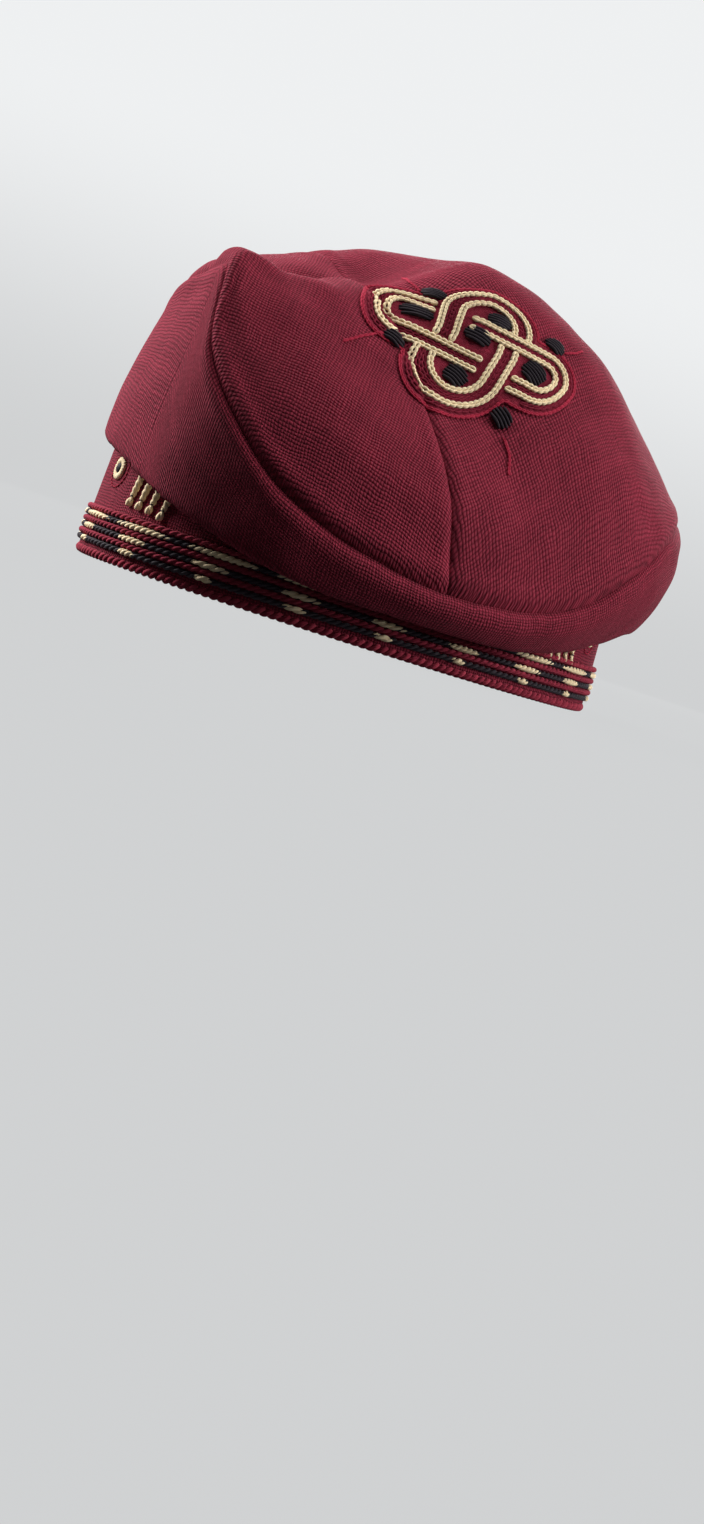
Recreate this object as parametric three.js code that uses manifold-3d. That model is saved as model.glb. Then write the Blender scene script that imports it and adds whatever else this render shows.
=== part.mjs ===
// A woven cloth cap at its real size, in millimetres, +Z up and its front towards -Y.
// It stands on its rim. The wearer's left side is towards +X, and the crown slouches over the band there.
import * as THREE from "three";
import { mergeVertices } from "three/addons/utils/BufferGeometryUtils.js";
import Module from "manifold-3d";

// Rim: an oval that is narrower at the front, measured on the outer face of the band
const rimHalfWidth = 83;
const rimHalfLength = 102.5;
const frontNarrowing = 0.11;

// Band
const bandHeight = 45;
const bandWall = 2.2;
const bandLeanIn = 2.6;

// Rope stitched round the rim, and the rows of twisted cord above it
const rimRopeHeight = 3.2;
const rimRopeWidth = 3.6;
const rimRopeChamfer = 0.8;
const cordRowPitch = 4.2;
const cordWidth = 1.9;
const cordProud = 1.0;
const cordRowNames = ["lower_red_cord", "middle_red_cord", "upper_red_cord"];

// Crown
const crownHeight = 131;
const crownReach = 15;
const clothWall = 1.6;
const hemRise = 2.4;

// Embroidered ground under the knot
const knotHalfLength = 40;
const knotHalfWidth = 30;
const knotThickness = 1.0;
const knotLift = 0.7;
const knotLobes = 4;
const knotLobeDepth = 0.13;
const knotOffsetX = 40.1;
const knotOffsetY = 22.6;
const knotTurn = -15;

// Clearance between pieces that touch
const clearance = 0.3;

// Smoothness of the faceted solids
const stepsRound = 64;
const stepsRoundKnot = 40;
const stepsAcrossKnot = 4;

// Steps along each stretch of the side panel: hem, inner leg, fold to bulge, bulge to seam
const SIDE_STEPS = [1, 3, 4, 3];

// Steps across the top, from the seam inwards between its named places, and on to the centre
const TOP_STEPS = [2, 3, 3, 2];

// Centre of the top, where its folds meet, as shares of the rim's half width and half length and of crownHeight
const topCentre = { across: 0.07, forward: 0.46, raised: 0.85 };

// Side panel round the cap: angle from the front towards the wearer's left, in degrees;
// fold, bulge and seam reach out by shares of crownReach; the fold stands at a share of bandHeight,
// and the bulge and the seam stand at shares of crownHeight
const SIDE_STATIONS = [
  { angle: 0, foldOut: 0.22, foldUp: 0.66, bulgeOut: 0.24, bulgeUp: 0.36, seamOut: -0.26, seamUp: 0.77 },
  { angle: 9, foldOut: 0.36, foldUp: 0.58, bulgeOut: 0.42, bulgeUp: 0.3, seamOut: 0.3, seamUp: 0.56 },
  { angle: 20, foldOut: 0.44, foldUp: 0.47, bulgeOut: 0.52, bulgeUp: 0.235, seamOut: 0.45, seamUp: 0.42 },
  { angle: 34, foldOut: 0.5, foldUp: 0.36, bulgeOut: 0.62, bulgeUp: 0.185, seamOut: 0.58, seamUp: 0.29 },
  { angle: 50, foldOut: 0.52, foldUp: 0.29, bulgeOut: 0.74, bulgeUp: 0.15, seamOut: 0.7, seamUp: 0.215 },
  { angle: 66, foldOut: 0.54, foldUp: 0.29, bulgeOut: 0.84, bulgeUp: 0.138, seamOut: 0.8, seamUp: 0.185 },
  { angle: 80, foldOut: 0.54, foldUp: 0.31, bulgeOut: 0.9, bulgeUp: 0.15, seamOut: 0.84, seamUp: 0.2 },
  { angle: 93, foldOut: 0.52, foldUp: 0.4, bulgeOut: 0.95, bulgeUp: 0.2, seamOut: 0.9, seamUp: 0.26 },
  { angle: 106, foldOut: 0.5, foldUp: 0.55, bulgeOut: 0.98, bulgeUp: 0.29, seamOut: 0.92, seamUp: 0.38 },
  { angle: 120, foldOut: 0.46, foldUp: 0.7, bulgeOut: 1, bulgeUp: 0.38, seamOut: 0.84, seamUp: 0.5 },
  { angle: 138, foldOut: 0.42, foldUp: 0.72, bulgeOut: 1, bulgeUp: 0.43, seamOut: 0.74, seamUp: 0.58 },
  { angle: 165, foldOut: 0.36, foldUp: 0.8, bulgeOut: 0.86, bulgeUp: 0.46, seamOut: 0.6, seamUp: 0.64 },
  { angle: 200, foldOut: 0.28, foldUp: 0.9, bulgeOut: 0.7, bulgeUp: 0.49, seamOut: 0.45, seamUp: 0.67 },
  { angle: 235, foldOut: 0.24, foldUp: 0.95, bulgeOut: 0.55, bulgeUp: 0.5, seamOut: 0.3, seamUp: 0.69 },
  { angle: 270, foldOut: 0.22, foldUp: 0.96, bulgeOut: 0.36, bulgeUp: 0.5, seamOut: 0.1, seamUp: 0.7 },
  { angle: 300, foldOut: 0.16, foldUp: 0.95, bulgeOut: 0.2, bulgeUp: 0.46, seamOut: -0.24, seamUp: 0.71 },
  { angle: 325, foldOut: 0.13, foldUp: 0.9, bulgeOut: 0.08, bulgeUp: 0.42, seamOut: -0.5, seamUp: 0.72 },
  { angle: 345, foldOut: 0.15, foldUp: 0.8, bulgeOut: 0.12, bulgeUp: 0.4, seamOut: -0.54, seamUp: 0.747 },
];

// How far in from the seam the top's named places lie, as shares of the way to the centre
const TOP_PLACES = { outer: 0.13, middle: 0.4, inner: 0.7 };

// Top panel: its height at those places, as shares of crownHeight; the groove behind the front peak lies
// at the first two angles
const TOP_STATIONS = [
  { angle: 0, outer: 0.805, middle: 0.79, inner: 0.815 },
  { angle: 9, outer: 0.685, middle: 0.765, inner: 0.815 },
  { angle: 20, outer: 0.56, middle: 0.735, inner: 0.81 },
  { angle: 34, outer: 0.49, middle: 0.68, inner: 0.8 },
  { angle: 50, outer: 0.43, middle: 0.62, inner: 0.775 },
  { angle: 66, outer: 0.395, middle: 0.59, inner: 0.755 },
  { angle: 80, outer: 0.41, middle: 0.61, inner: 0.79 },
  { angle: 93, outer: 0.475, middle: 0.69, inner: 0.85 },
  { angle: 106, outer: 0.58, middle: 0.785, inner: 0.92 },
  { angle: 120, outer: 0.655, middle: 0.88, inner: 0.975 },
  { angle: 138, outer: 0.715, middle: 0.925, inner: 1.01 },
  { angle: 165, outer: 0.775, middle: 0.95, inner: 1.02 },
  { angle: 200, outer: 0.8, middle: 0.96, inner: 1.01 },
  { angle: 235, outer: 0.8, middle: 0.95, inner: 0.99 },
  { angle: 270, outer: 0.8, middle: 0.91, inner: 0.94 },
  { angle: 300, outer: 0.785, middle: 0.87, inner: 0.89 },
  { angle: 325, outer: 0.77, middle: 0.825, inner: 0.85 },
  { angle: 345, outer: 0.787, middle: 0.785, inner: 0.805 },
];

// Angles on the rim where the seam across the top starts, at the wearer's left, and ends
const crossSeamStart = 66;
const crossSeamEnd = 285;

const radians = THREE.MathUtils.degToRad;

const cloth = (colour) => new THREE.MeshStandardMaterial({ color: colour, roughness: 0.92, metalness: 0 });
const wine = cloth(0x7c2235);
const wineTop = cloth(0x842739);
const redCord = cloth(0x9c2a40);
const wineGround = cloth(0x96283c);

// Smooth value between two stations, given the stations on either side of them
function betweenStations(before, start, end, after, at) {
  const slope = (p, q) => (q.value - p.value) / (q.at - p.at);
  const tangent = (left, right) => (left * right <= 0 ? 0 : (2 * left * right) / (left + right));
  const chord = slope(start, end);
  const startSlope = tangent(before ? slope(before, start) : chord, chord);
  const endSlope = tangent(chord, after ? slope(end, after) : 0);
  const span = end.at - start.at;
  const s = (at - start.at) / span;
  return (
    start.value * (1 + 2 * s) * (1 - s) ** 2 +
    span * startSlope * s * (1 - s) ** 2 +
    end.value * s * s * (3 - 2 * s) +
    span * endSlope * s * s * (s - 1)
  );
}

// Value of one column of a table at any angle, carried smoothly round the cap from station to station
function aroundCap(table, column, degrees) {
  const count = table.length;
  const turn = ((degrees % 360) + 360) % 360;
  let low = 0;
  while (low < count - 1 && table[low + 1].angle <= turn) low += 1;
  const stations = [low - 1, low, low + 1, low + 2].map((k) => {
    const wraps = Math.floor(k / count);
    const row = table[k - wraps * count];
    return { at: row.angle + 360 * wraps, value: row[column] };
  });
  return betweenStations(...stations, turn);
}

// Point beside the rim's oval: out along the oval's normal, and up
function besideRim(degrees, out, up) {
  const turn = radians(degrees);
  const narrow = 1 - frontNarrowing * Math.cos(turn);
  const x = rimHalfWidth * Math.sin(turn) * narrow;
  const y = -rimHalfLength * Math.cos(turn);
  const alongX = rimHalfWidth * (Math.cos(turn) * narrow + frontNarrowing * Math.sin(turn) ** 2);
  const alongY = rimHalfLength * Math.sin(turn);
  const length = Math.hypot(alongX, alongY);
  return new THREE.Vector3(x + (out * alongY) / length, y - (out * alongX) / length, up);
}

// Solid from rows of points that each run round the cap; the last row joins the first one, so that the
// rows together walk round a closed section
function ringSolid(rows) {
  const across = rows[0].length;
  const position = rows.flat().flatMap((p) => p.toArray());
  const index = [];
  rows.forEach((row, j) => {
    const next = (j + 1) % rows.length;
    for (let i = 0; i < across; i += 1) {
      const right = (i + 1) % across;
      const [a, b] = [j * across + i, j * across + right];
      const [c, d] = [next * across + right, next * across + i];
      index.push(a, b, c, a, c, d);
    }
  });
  return solidGeometry(position, index);
}

function solidGeometry(position, index) {
  const geometry = new THREE.BufferGeometry();
  geometry.setAttribute("position", new THREE.Float32BufferAttribute(position, 3));
  geometry.setIndex(index);
  geometry.computeVertexNormals();
  return geometry;
}

// Ring with a constant section: a list of [out, up] corners, walked so that the faces point outwards
function bandedRing(section) {
  return ringSolid(
    section.map(([out, up]) =>
      Array.from({ length: stepsRound }, (_, i) => besideRim((360 * i) / stepsRound, out, up)),
    ),
  );
}

// How far the outer face of the band has leaned in at a height
const bandFace = (up) => -bandLeanIn * (up / bandHeight);

function bandGeometry() {
  const foot = rimRopeHeight + clearance;
  return bandedRing([
    [bandFace(foot), foot],
    [bandFace(bandHeight), bandHeight],
    [bandFace(bandHeight) - bandWall, bandHeight],
    [bandFace(foot) - bandWall, foot],
  ]);
}

function rimRopeGeometry() {
  const outer = (rimRopeWidth - bandWall) / 2;
  const inner = outer - rimRopeWidth;
  return bandedRing([
    [outer - rimRopeChamfer, 0],
    [outer, rimRopeChamfer],
    [outer, rimRopeHeight - rimRopeChamfer],
    [outer - rimRopeChamfer, rimRopeHeight],
    [inner + rimRopeChamfer, rimRopeHeight],
    [inner, rimRopeHeight - rimRopeChamfer],
    [inner, rimRopeChamfer],
    [inner + rimRopeChamfer, 0],
  ]);
}

function cordGeometry(row) {
  const middle = rimRopeHeight + cordRowPitch * (row + 1);
  const half = cordWidth / 2;
  const face = (up) => bandFace(up) + clearance;
  return bandedRing([
    [face(middle - half), middle - half],
    [face(middle) + cordProud * 0.8, middle - half * 0.5],
    [face(middle) + cordProud * 0.8, middle + half * 0.5],
    [face(middle + half), middle + half],
  ]);
}

// Where the side panel ends and the top begins
function seamPoint(degrees) {
  const out = crownReach * aroundCap(SIDE_STATIONS, "seamOut", degrees);
  return besideRim(degrees, out, crownHeight * aroundCap(SIDE_STATIONS, "seamUp", degrees));
}

// Middle of the side panel's wall at one angle, from the top of the band out over it, down to the fold,
// and up round the bulge to the seam
function sideCurve(degrees) {
  const side = (column) => aroundCap(SIDE_STATIONS, column, degrees);
  const hem = bandFace(bandHeight) - bandWall / 2;
  const foldOut = crownReach * side("foldOut");
  const foldUp = bandHeight * side("foldUp");
  const hemUp = bandHeight + clearance;
  const points = [
    besideRim(degrees, hem, hemUp),
    besideRim(degrees, hem + bandWall / 2 + clothWall / 2 + 2 * clearance, hemUp + hemRise),
    besideRim(degrees, foldOut, foldUp),
    besideRim(degrees, crownReach * side("bulgeOut"), crownHeight * side("bulgeUp")),
    seamPoint(degrees),
  ];
  return new THREE.CatmullRomCurve3(points, false, "centripetal");
}

// Rows of points on both faces of a sheet whose middle is a grid of rows; each row runs round the cap
function sheetFaces(rows, wall) {
  const across = rows[0].length;
  const at = (j, i) => rows[THREE.MathUtils.clamp(j, 0, rows.length - 1)][(i + across) % across];
  const offset = (distance) =>
    rows.map((row, j) =>
      row.map((point, i) => {
        const along = at(j, i + 1).clone().sub(at(j, i - 1));
        const up = at(j + 1, i).clone().sub(at(j - 1, i));
        return point.clone().addScaledVector(along.cross(up).normalize(), distance);
      }),
    );
  return [offset(wall / 2), offset(-wall / 2)];
}

// The panels stop short of the seam, so that their walls clear each other where they meet at an angle
const seamSetback = clearance + clothWall / 2;

function crownSideGeometry() {
  const curves = Array.from({ length: stepsRound }, (_, i) => sideCurve((360 * i) / stepsRound));
  const places = SIDE_STEPS.flatMap((steps, span) =>
    Array.from({ length: steps }, (_, k) => (span + k / steps) / SIDE_STEPS.length),
  );
  const rows = [...places, 1].map((place) =>
    curves.map((curve) => {
      const last = curve.points.length - 1;
      const end = 1 - seamSetback / curve.points[last].distanceTo(curve.points[last - 1]) / last;
      return curve.getPoint(Math.min(place, end));
    }),
  );
  const [outer, inner] = sheetFaces(rows, clothWall);
  const floor = bandHeight + clearance;
  [outer[0], inner[0]].flat().forEach((point) => {
    point.z = floor;
  });
  return ringSolid([...outer, ...inner.reverse()]);
}

const centre = new THREE.Vector3(
  rimHalfWidth * topCentre.across,
  -rimHalfLength * topCentre.forward,
  crownHeight * topCentre.raised,
);

// Point on the middle of the top's wall: from the seam (0) to the centre (1) at an angle
function topPoint(degrees, inward) {
  const seam = seamPoint(degrees);
  const places = Object.entries(TOP_PLACES);
  const heights = [
    { at: 0, value: seam.z },
    ...places.map(([place, at]) => ({ at, value: crownHeight * aroundCap(TOP_STATIONS, place, degrees) })),
    { at: 1, value: centre.z },
  ];
  const along = THREE.MathUtils.clamp(inward, 0, 1);
  let low = 0;
  while (low < heights.length - 2 && heights[low + 1].at <= along) low += 1;
  const up = betweenStations(heights[low - 1], heights[low], heights[low + 1], heights[low + 2], along);
  return new THREE.Vector3(
    THREE.MathUtils.lerp(seam.x, centre.x, inward),
    THREE.MathUtils.lerp(seam.y, centre.y, inward),
    up,
  );
}

// The whole top as one sheet, closed at its centre by one point on each face
function wholeTopGeometry() {
  const stops = [0, ...Object.values(TOP_PLACES), 1];
  const places = TOP_STEPS.flatMap((steps, span) =>
    Array.from({ length: steps }, (_, k) => THREE.MathUtils.lerp(stops[span], stops[span + 1], k / steps)),
  );
  const rows = places.map((place) =>
    Array.from({ length: stepsRound }, (_, i) => {
      const degrees = (360 * i) / stepsRound;
      const start = seamSetback / (seamPoint(degrees).distanceTo(topPoint(degrees, places[1])) / places[1]);
      return topPoint(degrees, Math.max(place, start));
    }),
  );
  const [outer, inner] = sheetFaces(rows, clothWall);
  const walls = [...inner.reverse(), ...outer];
  const position = walls.flat().flatMap((p) => p.toArray());
  const index = [];
  for (let j = 0; j < walls.length - 1; j += 1) {
    for (let i = 0; i < stepsRound; i += 1) {
      const right = (i + 1) % stepsRound;
      const [a, b] = [j * stepsRound + i, j * stepsRound + right];
      const [c, d] = [a + stepsRound, b + stepsRound];
      index.push(a, b, d, a, d, c);
    }
  }
  const under = position.length / 3;
  position.push(centre.x, centre.y, centre.z - clothWall / 2, centre.x, centre.y, centre.z + clothWall / 2);
  const last = (walls.length - 1) * stepsRound;
  for (let i = 0; i < stepsRound; i += 1) {
    const right = (i + 1) % stepsRound;
    index.push(under, right, i, under + 1, last + i, last + right);
  }
  return solidGeometry(position, index);
}

const wasm = await Module();
wasm.setup();

function toSolid(geometry) {
  const bare = geometry.clone();
  bare.deleteAttribute("normal");
  bare.deleteAttribute("uv");
  const merged = mergeVertices(bare, 1e-4);
  const vertProperties = new Float32Array(merged.attributes.position.array);
  return new wasm.Manifold(
    new wasm.Mesh({ numProp: 3, vertProperties, triVerts: new Uint32Array(merged.index.array) }),
  );
}

function toGeometry(solid) {
  const mesh = solid.getMesh();
  return solidGeometry(Array.from(mesh.vertProperties), Array.from(mesh.triVerts));
}

// Upright block on one side of the seam across the top, half a clearance away from it
function halfBlock(side) {
  const ends = [topPoint(crossSeamStart, 0), topPoint(crossSeamEnd, 0)];
  const outward = (end) => end.clone().sub(centre).setZ(0).normalize();
  const reach = 2 * Math.max(rimHalfLength, rimHalfWidth);
  const line = [
    ends[0].clone().addScaledVector(outward(ends[0]), reach),
    centre.clone(),
    ends[1].clone().addScaledVector(outward(ends[1]), reach),
  ];
  const shift = (side * clearance) / 2;
  const shape = new THREE.Shape([
    ...line.map((p) => new THREE.Vector2(p.x, p.y + shift)),
    new THREE.Vector2(line[2].x, side * 2 * reach),
    new THREE.Vector2(line[0].x, side * 2 * reach),
  ]);
  return new THREE.ExtrudeGeometry(shape, { depth: 2 * crownHeight, bevelEnabled: false });
}

function topHalfGeometry(side) {
  return toGeometry(toSolid(wholeTopGeometry()).intersect(toSolid(halfBlock(side))));
}

// Point of the top's middle surface straight above a place in plan
function topAbove(x, y) {
  const heading = Math.atan2(x - centre.x, centre.y - y);
  const miss = (degrees) => {
    const seam = seamPoint(degrees);
    const found = Math.atan2(seam.x - centre.x, centre.y - seam.y);
    return Math.atan2(Math.sin(found - heading), Math.cos(found - heading));
  };
  let degrees = THREE.MathUtils.radToDeg(heading);
  for (let step = 0; step < 24; step += 1) degrees -= 0.7 * THREE.MathUtils.radToDeg(miss(degrees));
  const seam = seamPoint(degrees);
  const whole = Math.hypot(seam.x - centre.x, seam.y - centre.y);
  return topPoint(degrees, 1 - Math.hypot(x - centre.x, y - centre.y) / whole);
}

function topNormal(x, y) {
  const step = clothWall / 2;
  const across = topAbove(x + step, y).sub(topAbove(x - step, y));
  const along = topAbove(x, y + step).sub(topAbove(x, y - step));
  return across.cross(along).normalize();
}

// Ground of the knot: a four-lobed leaf of dense stitching, laid on the slope of the top
function knotGeometry() {
  const x = centre.x + knotOffsetX;
  const y = centre.y + knotOffsetY;
  const normal = topNormal(x, y);
  const level = new THREE.Vector3(-normal.y, normal.x, 0).normalize();
  const uphill = normal.clone().cross(level);
  const middle = topAbove(x, y);
  const place = (turn, share) => {
    const lobe = 1 - knotLobeDepth + knotLobeDepth * Math.cos(knotLobes * turn);
    const leaf = new THREE.Vector2(knotHalfLength * Math.cos(turn), knotHalfWidth * Math.sin(turn))
      .multiplyScalar(lobe * share)
      .rotateAround(new THREE.Vector2(), radians(knotTurn));
    const flat = middle.clone().addScaledVector(level, leaf.x).addScaledVector(uphill, leaf.y);
    return [topAbove(flat.x, flat.y), topNormal(flat.x, flat.y)];
  };
  const rows = Array.from({ length: stepsAcrossKnot }, (_, j) =>
    Array.from({ length: stepsRoundKnot }, (_, i) =>
      place((2 * Math.PI * i) / stepsRoundKnot, 1 - j / stepsAcrossKnot),
    ),
  );
  const low = clothWall / 2 + knotLift;
  const lift = (height) => rows.map((row) => row.map(([p, n]) => p.clone().addScaledVector(n, height)));
  const walls = [...lift(low).reverse(), ...lift(low + knotThickness)];
  const position = walls.flat().flatMap((p) => p.toArray());
  const index = [];
  for (let j = 0; j < walls.length - 1; j += 1) {
    for (let i = 0; i < stepsRoundKnot; i += 1) {
      const right = (i + 1) % stepsRoundKnot;
      const [a, b] = [j * stepsRoundKnot + i, j * stepsRoundKnot + right];
      const [c, d] = [a + stepsRoundKnot, b + stepsRoundKnot];
      index.push(a, b, d, a, d, c);
    }
  }
  const [heart, facing] = place(0, 0);
  const under = position.length / 3;
  position.push(...heart.clone().addScaledVector(facing, low).toArray());
  position.push(...heart.clone().addScaledVector(facing, low + knotThickness).toArray());
  const last = (walls.length - 1) * stepsRoundKnot;
  for (let i = 0; i < stepsRoundKnot; i += 1) {
    const right = (i + 1) % stepsRoundKnot;
    index.push(under, right, i, under + 1, last + i, last + right);
  }
  return solidGeometry(position, index);
}

const cap = new THREE.Group();
const pieces = new THREE.Group();
cap.add(pieces);

function add(name, geometry, material) {
  const mesh = new THREE.Mesh(geometry, material);
  mesh.name = name;
  pieces.add(mesh);
}

add("band", bandGeometry(), wine);
add("rim_rope", rimRopeGeometry(), redCord);
cordRowNames.forEach((name, row) => add(name, cordGeometry(row), redCord));
add("crown_side", crownSideGeometry(), wine);
add("crown_top_front", topHalfGeometry(-1), wineTop);
add("crown_top_back", topHalfGeometry(1), wineTop);
add("knot_ground", knotGeometry(), wineGround);

// The origin lies under the middle of the cap's outline, on the surface that the rim stands on
const middle = new THREE.Box3().setFromObject(pieces).getCenter(new THREE.Vector3());
pieces.position.set(-middle.x, -middle.y, 0);

export default cap;
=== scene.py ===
"""A woven cap with an embroidered band and an interlaced knot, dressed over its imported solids.

Sizes are in millimetres in the cap's own frame (+Z up, front towards -Y, the wearer's left towards +X) until
a mesh is made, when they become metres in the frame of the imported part.
"""
import math

import bmesh
import bpy
import numpy as np
from mathutils import Matrix, Vector, noise
from mathutils.bvhtree import BVHTree


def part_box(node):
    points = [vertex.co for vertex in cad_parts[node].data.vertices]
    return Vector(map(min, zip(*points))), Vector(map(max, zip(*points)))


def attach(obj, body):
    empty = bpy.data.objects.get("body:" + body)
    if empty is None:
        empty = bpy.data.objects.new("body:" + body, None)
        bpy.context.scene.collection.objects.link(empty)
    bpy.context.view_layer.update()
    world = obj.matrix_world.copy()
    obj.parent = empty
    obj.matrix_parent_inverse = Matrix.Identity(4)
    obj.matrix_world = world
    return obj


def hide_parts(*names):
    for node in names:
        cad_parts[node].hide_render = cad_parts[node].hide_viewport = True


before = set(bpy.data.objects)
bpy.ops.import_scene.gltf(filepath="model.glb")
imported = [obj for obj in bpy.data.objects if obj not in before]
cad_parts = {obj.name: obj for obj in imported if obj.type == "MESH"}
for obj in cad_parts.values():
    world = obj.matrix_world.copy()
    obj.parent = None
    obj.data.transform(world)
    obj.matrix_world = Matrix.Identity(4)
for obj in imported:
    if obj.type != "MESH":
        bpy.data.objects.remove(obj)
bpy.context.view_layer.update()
band_low, band_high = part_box("band")
ORIGIN = np.array((-500 * (band_low.x + band_high.x), -500 * (band_low.y + band_high.y), 0.0))

# Where the picture is taken from; the knot is laid on the top as it is seen from there
CAMERA_PLACE = np.array((471.0, -531.1, 20.0))

# Driving sizes of the cap
RIM_HALF_WIDTH = 83.0
RIM_HALF_LENGTH = 102.5
FRONT_NARROWING = 0.11
BAND_HEIGHT = 45.0
BAND_WALL = 2.2
BAND_LEAN_IN = 2.6
ROPE_HEIGHT = 3.2
CORD_PITCH = 4.2
CROWN_HEIGHT = 131.0
CROWN_REACH = 15.0
CLOTH_WALL = 1.6
HEM_RISE = 2.4
CLEARANCE = 0.3

# Side panel: angle from the front towards the wearer's left; the fold, bulge and seam reach out by shares of
# CROWN_REACH; the fold stands at a share of BAND_HEIGHT, the bulge and the seam at shares of CROWN_HEIGHT
FOLD_OUT, FOLD_UP, BULGE_OUT, BULGE_UP, SEAM_OUT, SEAM_UP = range(1, 7)
SIDE_STATIONS = [
    (0, 0.22, 0.66, 0.24, 0.36, -0.26, 0.77),
    (9, 0.36, 0.58, 0.42, 0.30, 0.30, 0.56),
    (20, 0.44, 0.47, 0.52, 0.235, 0.45, 0.42),
    (34, 0.50, 0.36, 0.62, 0.185, 0.58, 0.29),
    (50, 0.52, 0.29, 0.74, 0.15, 0.70, 0.215),
    (66, 0.54, 0.29, 0.84, 0.138, 0.80, 0.185),
    (80, 0.54, 0.31, 0.90, 0.15, 0.84, 0.20),
    (93, 0.52, 0.40, 0.95, 0.20, 0.9, 0.26),
    (106, 0.50, 0.55, 0.98, 0.29, 0.92, 0.38),
    (120, 0.46, 0.70, 1.0, 0.38, 0.84, 0.50),
    (138, 0.42, 0.72, 1.0, 0.43, 0.74, 0.58),
    (165, 0.36, 0.80, 0.86, 0.46, 0.60, 0.64),
    (200, 0.28, 0.90, 0.70, 0.49, 0.45, 0.67),
    (235, 0.24, 0.95, 0.55, 0.50, 0.30, 0.69),
    (270, 0.22, 0.96, 0.36, 0.50, 0.1, 0.70),
    (300, 0.16, 0.95, 0.2, 0.46, -0.24, 0.71),
    (325, 0.13, 0.90, 0.08, 0.42, -0.5, 0.72),
    (345, 0.15, 0.80, 0.12, 0.40, -0.54, 0.747),
]

# Top: shares of the way in from the seam, and the height at each of them as shares of CROWN_HEIGHT
TOP_PLACES = (0.13, 0.4, 0.7)
TOP_STATIONS = [
    (0, 0.805, 0.79, 0.815),
    (9, 0.685, 0.765, 0.815),
    (20, 0.56, 0.735, 0.81),
    (34, 0.49, 0.68, 0.80),
    (50, 0.43, 0.62, 0.775),
    (66, 0.395, 0.59, 0.755),
    (80, 0.41, 0.61, 0.79),
    (93, 0.475, 0.69, 0.85),
    (106, 0.58, 0.785, 0.92),
    (120, 0.655, 0.88, 0.975),
    (138, 0.715, 0.925, 1.01),
    (165, 0.775, 0.95, 1.02),
    (200, 0.80, 0.96, 1.01),
    (235, 0.80, 0.95, 0.99),
    (270, 0.80, 0.91, 0.94),
    (300, 0.785, 0.87, 0.89),
    (325, 0.77, 0.825, 0.85),
    (345, 0.787, 0.785, 0.805),
]
TOP_CENTRE = (0.07, 0.46, 0.85)
CROSS_SEAM = (66.0, 285.0)
# Folds of the top: start and end in plan, width and height in mm
TOP_FOLDS = [
    ((-9, -94), (18, -66), 5.0, 1.6), ((-16, -84), (2, -62), 5.5, -2.2), ((4, -62), (22, -54), 6.0, 0.8),
    ((22, -78), (52, -62), 9.0, -0.7), ((60, -20), (80, 12), 8.0, 0.7), ((30, 10), (70, 40), 10.0, 0.8),
]

# Rope and cords: width, distance out from the band's foot or face to the middle, and turns of their strands
ROPE_WIDTH, ROPE_UP, ROPE_OUT, ROPE_TURNS = 3.3, 1.7, -1.1, 106
CORD_WIDTH, RED_CORD_OUT, BLACK_ROW_OUT, CORD_TURNS = 2.0, 0.75, 0.55, 108
# Dashes as (start, end) beside the middle of their group in mm, from the lowest row up
DASH_GROUPS = 20
DASH_SPANS = [(-4.8, 1.7), (-7.0, 6.5), (-9.5, 13.5)]
# Eye rings: angle, the side that their strokes stand on, height
MOTIFS = [
    (-15.5, 1, 30.0), (52.0, 1, 27.0), (116.0, -1, 26.5),
    (165.0, 1, 27.5), (232.0, -1, 27.5), (270.0, 1, 28.0),
]
EYE_RADIUS, EYE_THREAD, EYE_HEART, EYE_STITCHES_RADIUS = 2.75, 1.15, 1.9, 6.2
# Strokes beside an eye: count, distance of the first, pitch, lean, foot below the eye and tip above it
STROKES, STROKE_START, STROKE_PITCH, STROKE_LEAN = 4, 14.0, 5.0, 0.20
STROKE_FOOT, STROKE_TIP, STROKE_HALF = 10.8, 5.0, 1.2

# Knot: its middle, the way its flat pattern faces, turn in degrees, and stretch across and uphill
KNOT_CENTRE = np.array((44.4, -24.3, 104.1))
KNOT_NORMAL = np.array((0.680, -0.503, 0.534))
KNOT_TURN = 7.5
KNOT_STRETCH = (1.03, 0.98)
# How far the crest presses the pattern together to the right, uphill and in the upper left, per square mm,
# and how far the part below it slants and draws out, as shares; and its shift downhill in mm
PRESS_RIGHT, PRESS_UPHILL, PRESS_CORNER = 0.0028, 0.0075, 0.011
SLANT_BELOW, DRAW_BELOW, SHIFT_BELOW = 0.18, 0.12, 0.5
# Middle of the half circles of the lower loop and of the right loop; the other two are half a turn away
LOWER_LOOP, RIGHT_LOOP = (-1.4, -11.0), (24.5, -0.5)
# Lines of chain stitches: pitch, half width of a stitch, thread thickness, lift
CREAM_LINE, FILLING_LINE = (2.0, 0.66, 0.56, 0.8), (2.4, 0.55, 0.5, 0.35)
EDGE_LINE, TAIL_LINE = (1.7, 0.34, 0.36, 0.25), (1.6, 0.28, 0.3, 0.15)
# Ground: capsules of its outline as (half of the middle line, radius), and shares from the rim to the middle
GROUND_CAPSULES = [((1.4, 11.0), 18.6), ((24.5, -0.5), 14.6)]
GROUND_SHARES = (1.03, 1.0, 0.97, 0.9, 0.8, 0.68, 0.54, 0.4, 0.25, 0.1, 0.004)
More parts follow.
